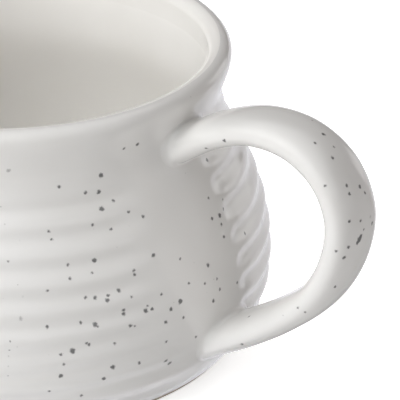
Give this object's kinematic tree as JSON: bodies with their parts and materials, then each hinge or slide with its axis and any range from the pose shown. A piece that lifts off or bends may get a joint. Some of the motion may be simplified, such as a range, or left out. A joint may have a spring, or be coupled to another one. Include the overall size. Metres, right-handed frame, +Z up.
{
  "type": "soup mug",
  "caption": "Wide rounded soup mug with throwing ribs round its belly, a rolled lip, a bare foot ring and one broad looped handle, glazed inside and out.",
  "frame": {"origin": "centre of the foot ring, on the surface that the mug stands on", "axes": "+Z up along the body's turning axis, +X towards the handle"},
  "size_m": [0.1803, 0.1408, 0.08],
  "materials": {
    "stoneware": "bare fired stoneware, fine and dry, buff",
    "slip": "fired slip, smooth and matt, under the glaze",
    "liner_glaze": "glossy warm white, without specks",
    "speckled_glaze": "glossy off-white with scattered grey iron specks"
  },
  "bodies": {
    "root": {"stoneware_body": "stoneware", "stoneware_handle": "stoneware", "upper_slip_joint": "slip", "lower_slip_joint": "slip", "liner_glaze": "liner_glaze", "outer_glaze": "speckled_glaze", "handle_glaze": "speckled_glaze", "foot_well_glaze": "speckled_glaze"}
  },
  "joints": []
}
